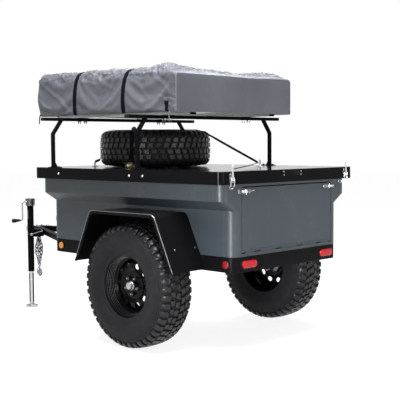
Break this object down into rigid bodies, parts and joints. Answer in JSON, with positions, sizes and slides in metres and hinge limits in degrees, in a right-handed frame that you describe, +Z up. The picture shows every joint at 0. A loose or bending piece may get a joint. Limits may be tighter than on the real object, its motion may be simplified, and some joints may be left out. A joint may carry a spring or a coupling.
{
  "type": "camper trailer",
  "caption": "Single-axle off-road camper trailer: steel tub with a drop tailgate, and a hinged lid carrying a spare wheel, a tube rack and a packed roof tent; parked on its tongue jack.",
  "frame": {"origin": "middle of the overall length and width, on the ground under the wheels and the jack foot", "axes": "+X forward to the towing eye, +Y to the left side, +Z up"},
  "size_m": [3.004, 1.704, 1.884],
  "materials": {
    "body_paint": "satin",
    "black_paint": "satin",
    "lid_paint": "satin",
    "rim_paint": "satin",
    "tyre_rubber": "matte",
    "bright_steel": "satin",
    "chrome_trim": "polished",
    "red_lens": "gloss",
    "amber_lens": "gloss",
    "tent_alloy": "satin",
    "tent_fabric": "matte"
  },
  "bodies": {
    "chassis": {"left_side_panel": "body_paint", "right_side_panel": "body_paint", "front_wall": "body_paint", "rear_frame": "body_paint", "tailgate_knuckles": "body_paint", "left_frame_rail": "black_paint", "right_frame_rail": "black_paint", "rear_bumper": "black_paint", "front_member": "black_paint", "crossmembers": "black_paint", "left_tongue_rail": "black_paint", "right_tongue_rail": "black_paint", "tongue_nose": "black_paint", "left_fender": "black_paint", "right_fender": "black_paint", "jack_housing": "black_paint", "axle_tube": "black_paint", "trailing_arms": "black_paint", "tub_floor": "black_paint", "lid_hinge_brackets": "black_paint", "jack_crank": "bright_steel", "safety_chains": "bright_steel", "towing_eye": "bright_steel", "latch_keepers": "chrome_trim", "tail_lights": "red_lens", "red_markers": "red_lens", "amber_markers": "amber_lens"},
    "left_wheel": {"left_tyre": "tyre_rubber", "left_rim": "rim_paint", "left_hub": "bright_steel"},
    "right_wheel": {"right_tyre": "tyre_rubber", "right_rim": "rim_paint", "right_hub": "bright_steel"},
    "lid": {"lid": "lid_paint", "lid_hinge_pins": "black_paint", "lid_latch_hooks": "chrome_trim", "rack_legs": "black_paint", "rack_bars": "black_paint", "tent_rails": "tent_alloy", "tent_base": "tent_alloy", "tent_cover": "tent_fabric", "spare_tyre": "tyre_rubber", "spare_rim": "rim_paint", "spare_post": "black_paint"},
    "tailgate": {"tailgate": "body_paint", "tailgate_pins": "body_paint", "tailgate_latches": "chrome_trim"},
    "jack_leg": {"jack_leg": "bright_steel"}
  },
  "joints": [
    {"name": "left_wheel_spin", "type": "hinge", "parent": "chassis", "child": "left_wheel", "pos_m": [-0.73, 0.705, 0.42], "axis": [0, 1, 0], "continuous": true},
    {"name": "right_wheel_spin", "type": "hinge", "parent": "chassis", "child": "right_wheel", "pos_m": [-0.73, -0.705, 0.42], "axis": [0, 1, 0], "continuous": true},
    {"name": "lid_hinge", "type": "hinge", "parent": "chassis", "child": "lid", "pos_m": [0.413, 0, 1.098], "axis": [0, 1, 0], "range_deg": [0, 50]},
    {"name": "tailgate_hinge", "type": "hinge", "parent": "chassis", "child": "tailgate", "pos_m": [-1.471, 0, 0.664], "axis": [0, -1, 0], "range_deg": [0, 90]},
    {"name": "jack_leg_slide", "type": "slide", "parent": "chassis", "child": "jack_leg", "axis": [0, 0, 1], "range_m": [0, 0.24]}
  ]
}
